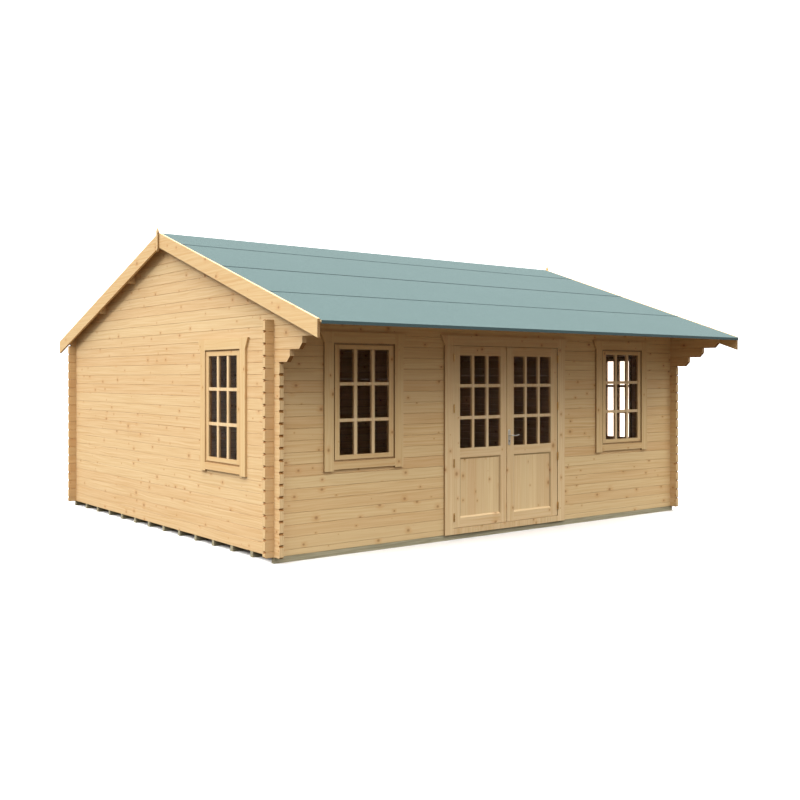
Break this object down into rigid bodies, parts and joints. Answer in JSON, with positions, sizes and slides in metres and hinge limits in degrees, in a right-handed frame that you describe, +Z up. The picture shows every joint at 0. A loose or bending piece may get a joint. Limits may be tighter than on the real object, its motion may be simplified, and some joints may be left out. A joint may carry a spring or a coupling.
{
  "type": "log cabin",
  "caption": "Garden cabin of interlocking spruce logs with a felted gable roof, a wide front eave on stepped corner logs, glazed double doors and windows.",
  "frame": {"origin": "on the ground, under the middle of the plan of the whole cabin, roof included", "axes": "+Z up, -Y is the front with the doors, +X runs along the ridge to the right as seen from the front"},
  "size_m": [6.2526, 6.5856, 3.4079],
  "materials": {
    "floor_bearers": "pressure treated softwood, sawn",
    "floor_boards": "planed spruce",
    "front_wall_left": "planed spruce, clear satin finish",
    "front_wall_right": "planed spruce, clear satin finish",
    "front_wall_top": "planed spruce, clear satin finish",
    "back_wall": "planed spruce, clear satin finish",
    "left_gable_wall": "planed spruce, clear satin finish",
    "right_gable_wall": "planed spruce, clear satin finish",
    "ridge_purlin": "planed spruce",
    "roof_purlins": "planed spruce",
    "front_roof_boards": "planed spruce",
    "back_roof_boards": "planed spruce",
    "front_roof_felt": "bituminous roofing felt with mineral granules, green",
    "back_roof_felt": "bituminous roofing felt with mineral granules, green",
    "ridge_felt": "bituminous roofing felt with mineral granules, green",
    "left_bargeboards": "planed spruce, clear satin finish",
    "right_bargeboards": "planed spruce, clear satin finish",
    "finials": "planed spruce, clear satin finish",
    "door_frame": "planed spruce",
    "door_threshold": "planed spruce, clear satin finish",
    "door_casing": "planed spruce, clear satin finish",
    "left_door_leaf": "planed spruce, clear satin finish",
    "left_door_panel": "planed spruce, clear satin finish",
    "left_door_glass": "clear sheet glass",
    "right_door_leaf": "planed spruce, clear satin finish",
    "right_door_panel": "planed spruce, clear satin finish",
    "right_door_glass": "clear sheet glass",
    "frame_hinge_halves": "satin steel",
    "left_door_hinge_halves": "satin steel",
    "right_door_hinge_halves": "satin steel",
    "door_handle_plate": "satin steel",
    "door_lever": "satin steel",
    "window_frames": "planed spruce",
    "front_left_window_casing": "planed spruce, clear satin finish",
    "front_right_window_casing": "planed spruce, clear satin finish",
    "left_gable_window_casing": "planed spruce, clear satin finish",
    "right_gable_window_casing": "planed spruce, clear satin finish",
    "front_left_window_sash": "planed spruce, clear satin finish",
    "front_right_window_sash": "planed spruce, clear satin finish",
    "left_gable_window_sash": "planed spruce, clear satin finish",
    "right_gable_window_sash": "planed spruce, clear satin finish",
    "front_left_window_glass": "clear sheet glass",
    "front_right_window_glass": "clear sheet glass",
    "left_gable_window_glass": "clear sheet glass",
    "right_gable_window_glass": "clear sheet glass"
  },
  "bodies": {
    "cabin": {"floor_bearers": "floor_bearers", "floor_boards": "floor_boards", "front_wall_left": "front_wall_left", "front_wall_right": "front_wall_right", "front_wall_top": "front_wall_top", "back_wall": "back_wall", "left_gable_wall": "left_gable_wall", "right_gable_wall": "right_gable_wall", "ridge_purlin": "ridge_purlin", "roof_purlins": "roof_purlins", "front_roof_boards": "front_roof_boards", "back_roof_boards": "back_roof_boards", "front_roof_felt": "front_roof_felt", "back_roof_felt": "back_roof_felt", "ridge_felt": "ridge_felt", "left_bargeboards": "left_bargeboards", "right_bargeboards": "right_bargeboards", "finials": "finials", "door_frame": "door_frame", "door_threshold": "door_threshold", "door_casing": "door_casing", "frame_hinge_halves": "frame_hinge_halves", "window_frames": "window_frames", "front_left_window_casing": "front_left_window_casing", "front_right_window_casing": "front_right_window_casing", "left_gable_window_casing": "left_gable_window_casing", "right_gable_window_casing": "right_gable_window_casing", "front_left_window_sash": "front_left_window_sash", "front_right_window_sash": "front_right_window_sash", "left_gable_window_sash": "left_gable_window_sash", "right_gable_window_sash": "right_gable_window_sash", "front_left_window_glass": "front_left_window_glass", "front_right_window_glass": "front_right_window_glass", "left_gable_window_glass": "left_gable_window_glass", "right_gable_window_glass": "right_gable_window_glass"},
    "left_door": {"left_door_leaf": "left_door_leaf", "left_door_panel": "left_door_panel", "left_door_glass": "left_door_glass", "left_door_hinge_halves": "left_door_hinge_halves"},
    "right_door": {"right_door_leaf": "right_door_leaf", "right_door_panel": "right_door_panel", "right_door_glass": "right_door_glass", "right_door_hinge_halves": "right_door_hinge_halves", "door_handle_plate": "door_handle_plate"},
    "lever": {"door_lever": "door_lever"}
  },
  "joints": [
    {"name": "left_door_hinge", "type": "hinge", "parent": "cabin", "child": "left_door", "pos_m": [-0.8025, -2.3958, 0.128], "axis": [0, 0, -1], "range_deg": [0, 105]},
    {"name": "right_door_hinge", "type": "hinge", "parent": "cabin", "child": "right_door", "pos_m": [0.8025, -2.3958, 0.128], "axis": [0, 0, 1], "range_deg": [0, 105]},
    {"name": "lever_turn", "type": "hinge", "parent": "right_door", "child": "lever", "pos_m": [0.0225, -2.4015, 1.093], "axis": [0, 1, 0], "range_deg": [0, 40], "stiffness_Nm_per_rad": 0.5}
  ]
}
